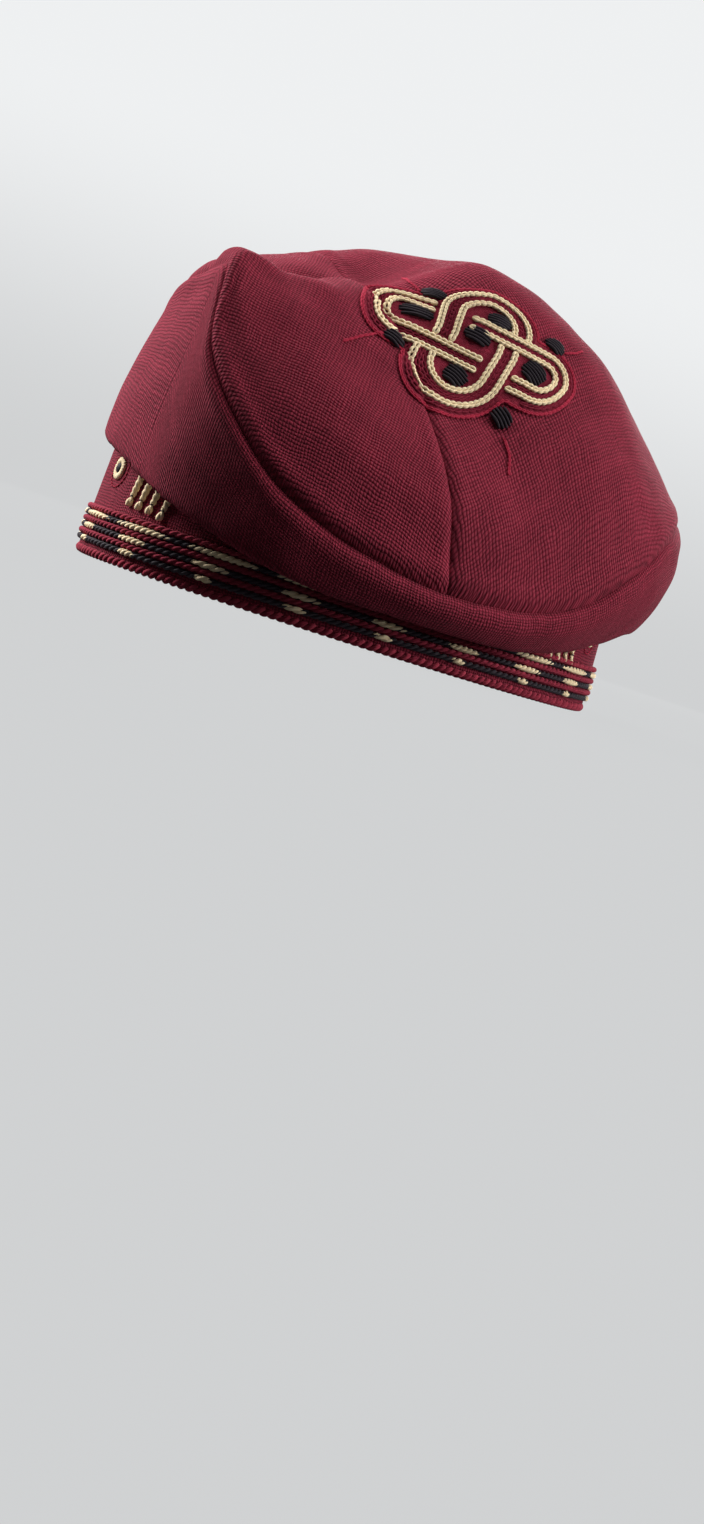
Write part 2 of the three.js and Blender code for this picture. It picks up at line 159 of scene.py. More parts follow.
# Black spots as (x, y, length, width, heading in degrees) in the pattern's plane, and the red tails
SPOT_THREAD = 1.05
SPOTS = [
    (-17.6, 17.0, 8.0, 5.6, -2), (-23.2, -12.0, 8.2, 5.4, -15), (26.2, 16.2, 8.6, 5.6, -24),
    (19.8, -21.0, 8.8, 6.2, -36), (-21.2, 1.6, 12.2, 5.2, 14), (4.6, 13.6, 8.6, 5.6, 2),
    (-0.6, 3.0, 9.2, 6.2, -8), (-0.8, -14.6, 8.6, 6.8, -18), (21.8, -0.6, 9.8, 7.6, -28),
]
TAILS = [
    [(-22, 17), (-26, 24), (-28, 34)], [(-27, -12), (-32, -17), (-36, -22)],
    [(24, -27), (29, -32), (32, -38)], [(31, 16), (35, 19), (38, 23)],
]


# The cap's form
def between(before, start, end, after, at):
    """Smooth value between two stations (at, value), given the stations on either side."""
    def slope(p, q):
        return (q[1] - p[1]) / (q[0] - p[0])

    def tangent(left, right):
        return 0.0 if left * right <= 0 else 2 * left * right / (left + right)

    chord = slope(start, end)
    first = tangent(slope(before, start) if before else chord, chord)
    last = tangent(chord, slope(end, after)) if after else 0.0
    span = end[0] - start[0]
    s = (at - start[0]) / span
    return (
        start[1] * (1 + 2 * s) * (1 - s) ** 2
        + span * first * s * (1 - s) ** 2
        + end[1] * s * s * (3 - 2 * s)
        + span * last * s * s * (s - 1)
    )


def around(table, column, degrees):
    """One column of a table at any angle, carried smoothly round the cap."""
    count = len(table)
    turn = degrees % 360
    low = max(k for k in range(count) if table[k][0] <= turn)
    stations = []
    for k in (low - 1, low, low + 1, low + 2):
        wraps = k // count
        row = table[k - wraps * count]
        stations.append((row[0] + 360 * wraps, row[column]))
    return between(*stations, turn)


def rim_frame(degrees):
    """Point of the rim's oval and its outward normal, both in plan."""
    turn = math.radians(degrees)
    narrow = 1 - FRONT_NARROWING * math.cos(turn)
    x = RIM_HALF_WIDTH * math.sin(turn) * narrow
    y = -RIM_HALF_LENGTH * math.cos(turn)
    along_x = RIM_HALF_WIDTH * (math.cos(turn) * narrow + FRONT_NARROWING * math.sin(turn) ** 2)
    along_y = RIM_HALF_LENGTH * math.sin(turn)
    length = math.hypot(along_x, along_y)
    return x, y, along_y / length, -along_x / length


def beside_rim(degrees, out, up):
    x, y, nx, ny = rim_frame(degrees)
    return np.array((x + out * nx, y + out * ny, up))


def band_face(up):
    return -BAND_LEAN_IN * up / BAND_HEIGHT


def seam_point(degrees):
    out = CROWN_REACH * around(SIDE_STATIONS, SEAM_OUT, degrees)
    return beside_rim(degrees, out, CROWN_HEIGHT * around(SIDE_STATIONS, SEAM_UP, degrees))


def side_profile(degrees):
    """(out, up) corners of the side panel's middle at one angle: hem, turn, fold, bulge, seam."""
    def side(column):
        return around(SIDE_STATIONS, column, degrees)

    hem = band_face(BAND_HEIGHT) - BAND_WALL / 2
    hem_up = BAND_HEIGHT + CLEARANCE
    return np.array([
        (hem, hem_up),
        (hem + BAND_WALL / 2 + CLOTH_WALL / 2 + 2 * CLEARANCE, hem_up + HEM_RISE),
        (CROWN_REACH * side(FOLD_OUT), BAND_HEIGHT * side(FOLD_UP)),
        (CROWN_REACH * side(BULGE_OUT), CROWN_HEIGHT * side(BULGE_UP)),
        (CROWN_REACH * side(SEAM_OUT), CROWN_HEIGHT * side(SEAM_UP)),
    ])


def through(corners, steps):
    """Centripetal curve through corners, with the same number of steps between each two."""
    padded = np.vstack([2 * corners[0] - corners[1], corners, 2 * corners[-1] - corners[-2]])
    points = []
    for k in range(len(corners) - 1):
        p = padded[k:k + 4]
        t = [max(np.linalg.norm(p[n + 1] - p[n]), 1e-6) ** 0.5 for n in range(3)]
        m1 = ((p[1] - p[0]) / t[0] - (p[2] - p[0]) / (t[0] + t[1]) + (p[2] - p[1]) / t[1]) * t[1]
        m2 = ((p[2] - p[1]) / t[1] - (p[3] - p[1]) / (t[1] + t[2]) + (p[3] - p[2]) / t[2]) * t[1]
        for s in np.arange(steps) / steps:
            points.append(
                p[1] * (1 + 2 * s) * (1 - s) ** 2 + m1 * s * (1 - s) ** 2
                + p[2] * s * s * (3 - 2 * s) + m2 * s * s * (s - 1)
            )
    points.append(corners[-1])
    return np.array(points)


def evenly(points, count):
    """Points at even distances along a line of points."""
    walked = np.concatenate([[0], np.cumsum(np.linalg.norm(np.diff(points, axis=0), axis=1))])
    at = np.linspace(0, walked[-1], count)
    return np.stack([np.interp(at, walked, points[:, k]) for k in range(points.shape[1])], axis=1)


CENTRE = np.array(
    (RIM_HALF_WIDTH * TOP_CENTRE[0], -RIM_HALF_LENGTH * TOP_CENTRE[1], CROWN_HEIGHT * TOP_CENTRE[2])
)


def top_line(degrees):
    """Seam point and the stations of height from the seam to the centre at one angle."""
    seam = seam_point(degrees)
    stations = [(0.0, seam[2])]
    stations += [(p, CROWN_HEIGHT * around(TOP_STATIONS, k + 1, degrees)) for k, p in enumerate(TOP_PLACES)]
    stations.append((1.0, CENTRE[2]))
    return seam, stations


def top_point(line, inward):
    seam, stations = line
    low = max(k for k in range(len(stations) - 1) if stations[k][0] <= inward)
    before = stations[low - 1] if low else None
    after = stations[low + 2] if low + 2 < len(stations) else None
    up = between(before, stations[low], stations[low + 1], after, inward)
    x, y = seam[:2] + (CENTRE[:2] - seam[:2]) * inward
    return np.array((x, y, up))


# Meshes: grids whose vertices are moved into place
def lengths(rows):
    """Distances in mm along the columns and along the rows of a grid of points."""
    across = np.linalg.norm(np.diff(rows, axis=1), axis=2).mean(axis=0)
    upward = np.linalg.norm(np.diff(rows, axis=0), axis=2).mean(axis=1)
    u = np.concatenate([[0], np.cumsum(across)])
    v = np.concatenate([[0], np.cumsum(upward)])
    return np.stack(np.meshgrid(u, v), axis=2)


def to_part(points):
    return (np.asarray(points) - ORIGIN) / 1000


def patches(name, blocks, material, maps=None, weld=0.01):
    """One object from several grids of points in mm; each grid's UV is in mm."""
    mesh = bpy.data.meshes.new(name)
    bm = bmesh.new()
    for rows in blocks:
        bmesh.ops.create_grid(bm, x_segments=rows.shape[1] - 1, y_segments=rows.shape[0] - 1, size=1)
    bm.loops.layers.uv.new("mm")
    bm.to_mesh(mesh)
    bm.free()
    places = np.concatenate([rows.reshape(-1, 3) for rows in blocks])
    if maps is None:
        maps = [lengths(rows) for rows in blocks]
    flat = np.concatenate([m.reshape(-1, 2) for m in maps])
    mesh.vertices.foreach_set("co", to_part(places).ravel())
    corner = np.empty(len(mesh.loops), np.int32)
    mesh.loops.foreach_get("vertex_index", corner)
    mesh.uv_layers["mm"].data.foreach_set("uv", flat[corner].ravel())
    mesh.update()
    bm = bmesh.new()
    bm.from_mesh(mesh)
    bmesh.ops.remove_doubles(bm, verts=bm.verts, dist=weld / 1000)
    bm.to_mesh(mesh)
    bm.free()
    mesh.shade_smooth()
    mesh.materials.append(material)
    made = bpy.data.objects.new(name, mesh)
    bpy.context.scene.collection.objects.link(made)
    return made


def tube(path, facing, radius, flat=1.0, sides=8):
    """Grid of points round a path; facing is the surface's normal along it, radius may change along it."""
    path = np.asarray(path, float)
    facing = np.broadcast_to(np.asarray(facing, float), path.shape)
    along = np.gradient(path, axis=0)
    along /= np.linalg.norm(along, axis=1, keepdims=True)
    beside = np.cross(facing, along)
    beside /= np.linalg.norm(beside, axis=1, keepdims=True)
    lift = np.cross(along, beside)
    radius = np.broadcast_to(np.asarray(radius, float), len(path))[:, None]
    turns = np.linspace(0, 2 * math.pi, sides + 1)
    return np.stack([path + radius * (flat * math.cos(t) * lift + math.sin(t) * beside) for t in turns])


def finish_piece(piece, node):
    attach(piece, "root")
    if node:
        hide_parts(node)
    return piece


# Materials
class Net:
    """Short names for making shader nodes."""

    def __init__(self, tree):
        self.tree = tree

    def node(self, kind, inputs=(), **settings):
        made = self.tree.nodes.new(kind)
        for key, value in settings.items():
            setattr(made, key, value)
        for key, value in dict(inputs).items():
            if isinstance(value, bpy.types.NodeSocket):
                self.tree.links.new(value, made.inputs[key])
            else:
                made.inputs[key].default_value = value
        return made

    def math(self, operation, *values):
        return self.node("ShaderNodeMath", enumerate(values), operation=operation).outputs[0]

    def vector(self, operation, *values):
        return self.node("ShaderNodeVectorMath", enumerate(values), operation=operation).outputs[0]

    def mix(self, share, low, high):
        made = self.node("ShaderNodeMix", {0: share, 6: low, 7: high}, data_type="RGBA")
        return made.outputs[2]

    def ramp(self, value, low, high):
        return self.node(
            "ShaderNodeMapRange", {"Value": value, "From Min": low, "From Max": high}, clamp=True
        ).outputs[0]


def group(name, inputs, outputs):
    tree = bpy.data.node_groups.new(name, "ShaderNodeTree")
    for label, kind, value in inputs:
        socket = tree.interface.new_socket(label, in_out="INPUT", socket_type="NodeSocket" + kind)
        if value is not None:
            socket.default_value = value
    for label, kind in outputs:
        tree.interface.new_socket(label, in_out="OUTPUT", socket_type="NodeSocket" + kind)
    net = Net(tree)
    return net, net.node("NodeGroupInput").outputs, net.node("NodeGroupOutput")


def weave_group():
    """Plain weave: warp and weft yarns that pass over and under each other, with slubs, and painted shade in
    the hollows where the yarns lie low.
    """
    net, given, result = group(
        "plain_weave",
        [("Map", "Vector", None), ("Pitch", "Float", 1.0), ("Dark", "Color", None), ("Light", "Color", None)],
        [("Color", "Color"), ("Height", "Float")],
    )
    m = net.math
    drift = net.node("ShaderNodeTexNoise", {"Vector": given["Map"], "Scale": 0.09, "Detail": 2.0})
    wander = net.vector("MULTIPLY", drift.outputs["Color"], (3.0, 3.0, 0.0))
    parts = net.node("ShaderNodeSeparateXYZ", {0: net.vector("ADD", given["Map"], wander)})
    u = m("DIVIDE", parts.outputs[0], given["Pitch"])
    v = m("DIVIDE", parts.outputs[1], given["Pitch"])
    warp_number, weft_number = m("FLOOR", u), m("FLOOR", v)

    def yarn(across, along, number, sign):
        profile = m("ABSOLUTE", m("SINE", m("MULTIPLY", across, math.pi)))
        wave = m("SINE", m("MULTIPLY", m("ADD", along, number), math.pi))
        over = m("MULTIPLY_ADD", wave, 0.5 * sign, 0.5)
        return m("MULTIPLY", m("POWER", profile, 0.7), over)

    warp = yarn(u, v, warp_number, 1)
    weft = yarn(v, u, weft_number, -1)
    height = m("MAXIMUM", warp, weft)
    warp_tone = net.node("ShaderNodeTexWhiteNoise", {"W": warp_number}, noise_dimensions="1D").outputs[0]
    weft_tone = net.node(
        "ShaderNodeTexWhiteNoise", {"W": m("ADD", weft_number, 417.3)}, noise_dimensions="1D"
    ).outputs[0]
    is_warp = m("GREATER_THAN", warp, weft)
    tone = net.node("ShaderNodeMix", {0: is_warp, 2: weft_tone, 3: warp_tone}).outputs[0]
    slub = net.node("ShaderNodeTexNoise", {"Vector": given["Map"], "Scale": 0.9, "Detail": 3.0}).outputs[0]
    patch = net.node("ShaderNodeTexNoise", {"Vector": given["Map"], "Scale": 0.06, "Detail": 4.0}).outputs[0]
    # Painted shade: the colour goes dark where the yarns lie low, between and under each other; yarn tone,
    # slubs and patches vary it at random
    share = m("MULTIPLY_ADD", m("POWER", height, 1.5), 0.72, m("MULTIPLY", tone, 0.20))
    share = m("ADD", share, m("MULTIPLY_ADD", slub, 0.50, -0.27))
    share = m("ADD", share, m("MULTIPLY_ADD", patch, 0.30, -0.15))
    share = net.ramp(share, 0.0, 1.0)
    net.tree.links.new(net.mix(share, given["Dark"], given["Light"]), result.inputs["Color"])
    raised = m("ADD", height, m("MULTIPLY", slub, 0.5))
    net.tree.links.new(raised, result.inputs["Height"])
    return net.tree


def thread_group():
    """Twisted thread: fine fibres that run along it at a slant."""
    net, given, result = group(
        "twisted_thread",
        [("Map", "Vector", None), ("Slant", "Float", 0.6), ("Dark", "Color", None), ("Light", "Color", None)],
        [("Color", "Color"), ("Height", "Float")],
    )
    m = net.math
    parts = net.node("ShaderNodeSeparateXYZ", {0: given["Map"]})
    slanted = m("ADD", m("MULTIPLY", parts.outputs[0], given["Slant"]), parts.outputs[1])
    streak = net.node(
        "ShaderNodeCombineXYZ",
        {0: m("MULTIPLY", parts.outputs[0], 0.35), 1: m("MULTIPLY", slanted, 4.0), 2: 0.0},
    ).outputs[0]
    fibre = net.node("ShaderNodeTexNoise", {"Vector": streak, "Scale": 1.6, "Detail": 3.0}).outputs[0]
    broad = net.node("ShaderNodeTexNoise", {"Vector": given["Map"], "Scale": 0.35, "Detail": 2.0}).outputs[0]
    share = net.ramp(m("ADD", m("MULTIPLY", fibre, 0.7), m("MULTIPLY", broad, 0.5)), 0.3, 0.9)
    net.tree.links.new(net.mix(share, given["Dark"], given["Light"]), result.inputs["Color"])
    net.tree.links.new(fibre, result.inputs["Height"])
    return net.tree


WEAVE, THREAD = weave_group(), thread_group()


def textile(name, tree, dark, light, setting, depth, roughness=0.85, sheen=0.25, tint=(0.9, 0.22, 0.29)):
    """Cloth or thread material; depth is the relief of its yarns in mm."""
    material = bpy.data.materials.new(name)
    material.use_nodes = True
    material.diffuse_color = (*light, 1)
    net = Net(material.node_tree)
    shader = next(n for n in net.tree.nodes if n.type == "BSDF_PRINCIPLED")
    place = net.node("ShaderNodeUVMap", uv_map="mm")
    pattern = net.node("ShaderNodeGroup", node_tree=tree)
    net.tree.links.new(place.outputs[0], pattern.inputs["Map"])
    pattern.inputs[1].default_value = setting
    pattern.inputs["Dark"].default_value = (*dark, 1)
    pattern.inputs["Light"].default_value = (*light, 1)
    relief = {"Height": pattern.outputs["Height"], "Distance": depth / 1000, "Strength": 1.0}
    bump = net.node("ShaderNodeBump", relief)
    net.tree.links.new(pattern.outputs["Color"], shader.inputs["Base Color"])
    net.tree.links.new(bump.outputs[0], shader.inputs["Normal"])
    shader.inputs["Roughness"].default_value = roughness
    shader.inputs["Specular IOR Level"].default_value = 0.08
    shader.inputs["Sheen Weight"].default_value = sheen
    shader.inputs["Sheen Roughness"].default_value = 0.5
    shader.inputs["Sheen Tint"].default_value = (*tint, 1)
    return material


# The dark colour is painted shade in the hollows of the weave as well as darker yarn; the light colour is the
# tops of the yarns
CLOTH_HOLLOW_SHADE_AND_DARK_YARN, CLOTH_LIGHT = (0.055, 0.0025, 0.008), (0.36, 0.032, 0.062)
crown_cloth = textile("crown_cloth", WEAVE, CLOTH_HOLLOW_SHADE_AND_DARK_YARN, CLOTH_LIGHT, 1.0, 0.40, sheen=0.14)
band_cloth = textile("band_cloth", WEAVE, CLOTH_HOLLOW_SHADE_AND_DARK_YARN, (0.32, 0.028, 0.055), 1.0, 0.40, sheen=0.10)
red_cord = textile("red_cord", THREAD, (0.13, 0.008, 0.02), (0.38, 0.035, 0.065), 0.6, 0.12)
red_cord_light = textile("red_cord_light", THREAD, (0.20, 0.014, 0.03), (0.50, 0.055, 0.09), 0.6, 0.12)
red_ground = textile("red_ground", THREAD, (0.09, 0.004, 0.012), (0.34, 0.026, 0.055), 0.2, 0.35, sheen=0.1)
red_thread = textile("red_thread", THREAD, (0.22, 0.01, 0.025), (0.52, 0.03, 0.07), 0.6, 0.08)
cream_thread = textile(
    "cream_thread", THREAD, (0.82, 0.60, 0.33), (1.0, 0.86, 0.60), 0.6, 0.08, 0.7, 0.1, (1.0, 0.9, 0.7)
)
black_thread = textile(
    "black_thread", THREAD, (0.006, 0.004, 0.006), (0.035, 0.026, 0.034), 0.6, 0.08, 0.6, 0.1,
    (0.5, 0.4, 0.45),
)


# Crown: a side panel and the two halves of the top
def unit(v):
    return v / np.maximum(np.linalg.norm(v, axis=-1, keepdims=True), 1e-9)


def seam_facing(degrees):
    """Direction in which the edge seam faces, halfway between the side panel and the top."""
    along = seam_point(degrees + 0.5) - seam_point(degrees - 0.5)
    line = top_line(degrees)
    inward = top_point(line, 0.03) - line[0]
    low, high = side_profile(degrees)[-2:]
    upward = beside_rim(degrees, *high) - beside_rim(degrees, *(high + 0.06 * (low - high)))
    return unit(unit(np.cross(along, upward)) + unit(np.cross(along, inward)))


def facing_of(grid):
    """Normals of a grid of points."""
    return unit(np.cross(np.gradient(grid, axis=1), np.gradient(grid, axis=0)))


def puffed(distance, depth, reach, puff):
    """How far cloth stands out beside a seam: it dips into the seam and swells a little next to it."""
    swell = puff * np.exp(-((distance - 3.2 * reach) / (1.8 * reach)) ** 2)
    return swell - depth * np.exp(-(distance / reach) ** 2)


def rumple(grid, coarse, fine):
    """Uneven lie of soft cloth: gentle swells, and finer ones on top of them."""
    flat = grid.reshape(-1, 3)
    swell = [coarse * noise.noise(Vector(p) / 30) + fine * noise.noise(Vector(p) / 11) for p in flat]
    return np.array(swell).reshape(grid.shape[:2])


def ridge(grid, start, end, width, height):
    """Fold that stands up along a line in plan and dies out at both ends."""
    start, end = np.array(start, float), np.array(end, float)
    run = end - start
    length = np.linalg.norm(run)
    along = ((grid[..., :2] - start) @ run) / length ** 2
    beside = np.abs((grid[..., 0] - start[0]) * run[1] - (grid[..., 1] - start[1]) * run[0]) / length
    fade = np.clip(np.minimum(along + 0.15, 1.15 - along) / 0.3, 0, 1)
    return height * fade ** 2 * (3 - 2 * fade) * np.exp(-(beside / width) ** 2)


SEAM_DEPTH, SEAM_REACH, SEAM_PUFF = 1.5, 1.7, 0.5
SIDE_COLUMNS, SIDE_ROWS = 420, 84
side_angles = np.linspace(0, 360, SIDE_COLUMNS + 1)
side_rows = np.empty((SIDE_ROWS, SIDE_COLUMNS + 1, 3))
side_seam = []
for i, degrees in enumerate(side_angles):
    profile = evenly(through(side_profile(degrees), 24), SIDE_ROWS)
    side_seam.append(seam_facing(degrees))
    for j, (out, up) in enumerate(profile):
        side_rows[j, i] = beside_rim(degrees, out, up)
from_seam = np.cumsum(np.linalg.norm(np.diff(side_rows[::-1], axis=0), axis=2), axis=0)
from_seam = np.concatenate([np.zeros((1, SIDE_COLUMNS + 1)), from_seam])[::-1]
share = np.clip(from_seam / 6, 0, 1)[..., None]
outward = unit(share * facing_of(side_rows) + (1 - share) * np.array(side_seam))
loose = np.clip((from_seam[0] - from_seam) / 14, 0, 1) * np.clip(from_seam / 5, 0, 1)
swell = puffed(from_seam, SEAM_DEPTH, SEAM_REACH, SEAM_PUFF) + loose * rumple(side_rows, 0.9, 0.25)
side_rows = side_rows + swell[..., None] * outward
side_rows = np.concatenate([side_rows, side_rows[-1:] - 1.6 * np.array(side_seam)[None]])
side_rows[:, -1] = side_rows[:, 0]
crown_side = patches("crown_side_cloth", [side_rows], crown_cloth)


def from_cross_seam(grid):
    """Distance in plan from the seam across the top."""
    away = grid[..., :2] - CENTRE[:2]
    nearest = np.full(grid.shape[:2], 1e3)
    for degrees in CROSS_SEAM:
        heading = unit(seam_point(degrees)[:2] - CENTRE[:2])
        along = away @ heading
        beside = np.abs(away[..., 0] * heading[1] - away[..., 1] * heading[0])
        nearest = np.minimum(nearest, np.where(along > 0, beside, np.linalg.norm(away, axis=-1)))
    return nearest


def top_half(name, start, end, columns, rows):
    angles = np.linspace(start, end, columns + 1)
    grid = np.empty((rows + 1, columns + 1, 3))
    seam = []
    for i, degrees in enumerate(angles):
        line = top_line(degrees)
        whole = np.array([top_point(line, s) for s in np.linspace(0, 1, 4 * rows)])
        grid[:, i] = evenly(whole, rows + 1)
        seam.append(seam_facing(degrees))
    inner = np.cumsum(np.linalg.norm(np.diff(grid, axis=0), axis=2), axis=0)
    inner = np.concatenate([np.zeros((1, columns + 1)), inner])
    share = np.clip(inner / 6, 0, 1)[..., None]
    normals = facing_of(grid)
    normals[-1] = unit(normals[-2].mean(axis=0))
    outward = unit(share * normals + (1 - share) * np.array(seam))
    cross = from_cross_seam(grid)
    calm = np.clip(inner / 6, 0, 1) * np.clip(cross / 5, 0, 1)
    swell = puffed(inner, SEAM_DEPTH, SEAM_REACH, SEAM_PUFF)
    swell += np.clip(inner / 6, 0, 1) * puffed(cross, 0.9, 1.1, 0.3) + calm * rumple(grid, 0.8, 0.25)
    for fold in TOP_FOLDS:
        swell += np.clip(inner / 5, 0, 1) * ridge(grid, *fold)
    grid = grid + swell[..., None] * outward
    facets = np.cross(grid[:-1, 1:] - grid[:-1, :-1], grid[1:, :-1] - grid[:-1, :-1])
    outward = unit(facets.reshape(-1, 3).sum(axis=0))
    level = unit(np.cross((0, 0, 1), outward))
    uphill = np.cross(outward, level)
    grid = np.concatenate([grid[:1] - 1.6 * np.array(seam)[None], grid])
    flat = np.stack([grid @ level, grid @ uphill], axis=2)
    panel = patches(name, [grid], crown_cloth, [flat], weld=0.02)
    return panel


crown_front = top_half("crown_top_front_cloth", CROSS_SEAM[1], CROSS_SEAM[0] + 360, 250, 96)
crown_back = top_half("crown_top_back_cloth", CROSS_SEAM[0], CROSS_SEAM[1], 320, 110)
for cloth in (crown_side, crown_front, crown_back):
    wall = cloth.modifiers.new("wall", "SOLIDIFY")
    wall.thickness = CLOTH_WALL / 1000
    wall.offset = 0.0
finish_piece(crown_side, "crown_side")
finish_piece(crown_front, "crown_top_front")
finish_piece(crown_back, "crown_top_back")


# Band, rim rope and cords
RING = np.linspace(0, 360, 481)


def ring_band():
    foot = ROPE_HEIGHT / 2
    face = [(band_face(up), up) for up in np.linspace(foot, BAND_HEIGHT, 20)]
    back = [(out - BAND_WALL, up) for out, up in reversed(face)]
    section = face + back + face[:1]
    rows = np.array([[beside_rim(d, out, up) for d in RING] for out, up in section])
    band = patches("band_cloth_ring", [rows], band_cloth)
    return band


def rim_line(out, up, count):
    """Closed line round the band at even distances, with its outward normals."""
    fine = np.linspace(0, 360, 2401)
    points = np.array([beside_rim(d, out, up) for d in fine])
    walked = np.concatenate([[0], np.cumsum(np.linalg.norm(np.diff(points, axis=0), axis=1))])
    degrees = np.interp(np.linspace(0, walked[-1], count + 1), walked, fine)
    normals = np.array([(*rim_frame(d)[2:], 0.0) for d in degrees])
    return np.array([beside_rim(d, out, up) for d in degrees]), normals


def twisted(path, normals, radius, turns, phase, strand, closed=True):
    """One strand of a two-strand cord that winds round a path; radius and strand may change along it."""
    along = np.gradient(path, axis=0)
    if closed:
        along[0] = along[-1] = path[1] - path[-2]
    along /= np.linalg.norm(along, axis=1, keepdims=True)
    beside = np.cross(normals, along)
    turn = np.linspace(0, 2 * math.pi * turns, len(path)) + phase
    radius = np.broadcast_to(np.asarray(radius, float), len(path))
    line = path + (radius * np.cos(turn))[:, None] * normals + (radius * np.sin(turn))[:, None] * beside
    rows = tube(line, normals, strand)
    if closed:
        rows[:, -1] = rows[:, 0]
    return rows


def cord_ring(name, node, up, width, out, turns, light, dark):
    path, normals = rim_line(out, up, turns * 12)
    strand = width * 0.29
    for label, phase, material in (("a", 0.0, light), ("b", math.pi, dark)):
        rows = twisted(path, normals, width / 2 - strand, turns, phase, strand)
        finish_piece(patches(f"{name}_{label}", [rows], material), node)


finish_piece(ring_band(), "band")
cord_ring(
    "rim_rope", "rim_rope", ROPE_UP, ROPE_WIDTH, ROPE_OUT, ROPE_TURNS, red_cord_light, red_cord
)
for row, name in enumerate(("lower_red_cord", "middle_red_cord", "upper_red_cord")):
    up = ROPE_HEIGHT + CORD_PITCH * (row + 1)
    light = red_cord_light if row == 2 else red_cord
    out = band_face(up) + RED_CORD_OUT
    cord_ring(name, name, up, CORD_WIDTH, out, CORD_TURNS, light, red_cord)
for row, name in enumerate(("lower_black_row", "middle_black_row", "upper_black_row")):
    up = ROPE_HEIGHT + CORD_PITCH * (row + 0.5)
    out = band_face(up) + BLACK_ROW_OUT
    cord_ring(name, None, up, CORD_WIDTH, out, CORD_TURNS, black_thread, black_thread)


# Stitches laid on the band
FINE = np.linspace(-360, 720, 7201)
RIM_WALK = np.array([beside_rim(d, -0.5, 0.0)[:2] for d in FINE])
RIM_WALK = np.concatenate([[0], np.cumsum(np.linalg.norm(np.diff(RIM_WALK, axis=0), axis=1))])
PERIMETER = np.interp(360, FINE, RIM_WALK) - np.interp(0, FINE, RIM_WALK)


def on_band(degrees, beside, up, lift):
    """Point on the band's face at a distance in mm towards the wearer's left of an angle, and its normal."""
    at = np.interp(np.interp(degrees, FINE, RIM_WALK) + beside, RIM_WALK, FINE)
    return beside_rim(at, band_face(up) + lift, up), np.array((*rim_frame(at)[2:], 0.0))


def band_path(degrees, plan, lift):
    """Path on the band from (beside, up) points in mm."""
    found = [on_band(degrees, x, y, lift) for x, y in plan]
    return np.array([p for p, _ in found]), np.array([n for _, n in found])


def pointed(count, sharp=0.5):
    """Share of full thickness along a stitch that narrows at both ends."""
    return np.sin(np.linspace(0.02, 0.98, count) * math.pi) ** sharp


def dash(degrees, start, end, up, jitter):
    """Cream dash: two strands that twist round each other and come together at both ends."""
    length = end - start
    count = max(16, int(length * 4))
    plan = [(start + length * s, up) for s in np.linspace(0, 1, count)]
    path, normals = band_path(degrees, plan, 0.95)
    taper = pointed(count, 0.42)
    turns = max(1, round(length / 5.4 + jitter))
    return [
        twisted(path, normals, 0.42 * taper, turns, phase + jitter, 0.68 * taper, closed=False)
        for phase in (0.6, 0.6 + math.pi)
    ]


chance = np.random.default_rng(7)
dashes = []
for k in range(DASH_GROUPS):
    centre_angle = np.interp(
        np.interp(2.0, FINE, RIM_WALK) + PERIMETER * k / DASH_GROUPS, RIM_WALK, FINE
    )
    for row, (start, end) in enumerate(DASH_SPANS):
        up = ROPE_HEIGHT + CORD_PITCH * (row + 0.5)
        shift, stretch, jitter = (chance.uniform(-most, most) for most in (0.7, 0.6, 0.3))
        dashes += dash(centre_angle, start + shift - stretch, end + shift + stretch, up, jitter)
finish_piece(patches("cream_dashes", dashes, cream_thread), None)


def circle(up, radius, turns):
    """Points of a circle as (beside, up), round a place straight above an angle of the band."""
    return [(radius * math.cos(t), up + radius * math.sin(t)) for t in turns]


def dome(degrees, up, radius, height, lift):
    """Small round dot on the band."""
    turns = np.linspace(0, 2 * math.pi, 17)
    shares = np.linspace(1, 0, 7)
    rims = [band_path(degrees, circle(up, radius * s, turns), lift + height * (1 - s * s))[0] for s in shares]
    return np.array(rims)


def eye(degrees, up):
    """Ring of cream thread with a black heart and a faint red line of stitches round it."""
    turns = np.linspace(0, 2 * math.pi, 97)
    path, normals = band_path(degrees, circle(up, EYE_RADIUS, turns), 0.35)
    ribs = EYE_THREAD * (1 + 0.07 * np.sin(turns * 22))
    cream.append(tube(path, normals, ribs, flat=0.62, sides=12))
    cream[-1][:, -1] = cream[-1][:, 0]
    black.append(dome(degrees, up, EYE_HEART, 1.0, 0.55))
    for k in range(15):
        start = math.radians(150 + 16 * k)
        arc = circle(up, EYE_STITCHES_RADIUS, np.linspace(start, start + math.radians(14), 7))
        path, normals = band_path(degrees, arc, 0.1)
        red.append(tube(path, normals, 0.34 * pointed(7), sides=6))


def finger(degrees, x, lean, low, high):
    """Upright cream stroke with a drop at its tip and a dark stitch between them."""
    def stroke(bottom, top, turns, shape):
        count = max(14, int((top - bottom) * 3))
        plan = [(x + lean * (y - low), y) for y in np.linspace(bottom, top, count)]
        path, normals = band_path(degrees, plan, 0.4)
        taper = shape(np.linspace(0.03, 0.97, count))
        for phase in (0.0, math.pi):
            winding, strand = 0.36 * STROKE_HALF * taper, 0.66 * STROKE_HALF * taper
            cream.append(twisted(path, normals, winding, turns, phase, strand, closed=False))

    stroke(low, low + 3.2, 0.4, lambda s: np.sin(s ** 0.62 * math.pi) ** 0.6)
    stroke(low + 3.3, high, (high - low) / 5, lambda s: np.sin(s * math.pi) ** 0.16)
    joint = [(x + lean * 3.2 + s, low + 3.25) for s in np.linspace(-0.9, 0.9, 7)]
    path, normals = band_path(degrees, joint, 0.9)
    black.append(tube(path, normals, 0.28 * pointed(7), sides=6))


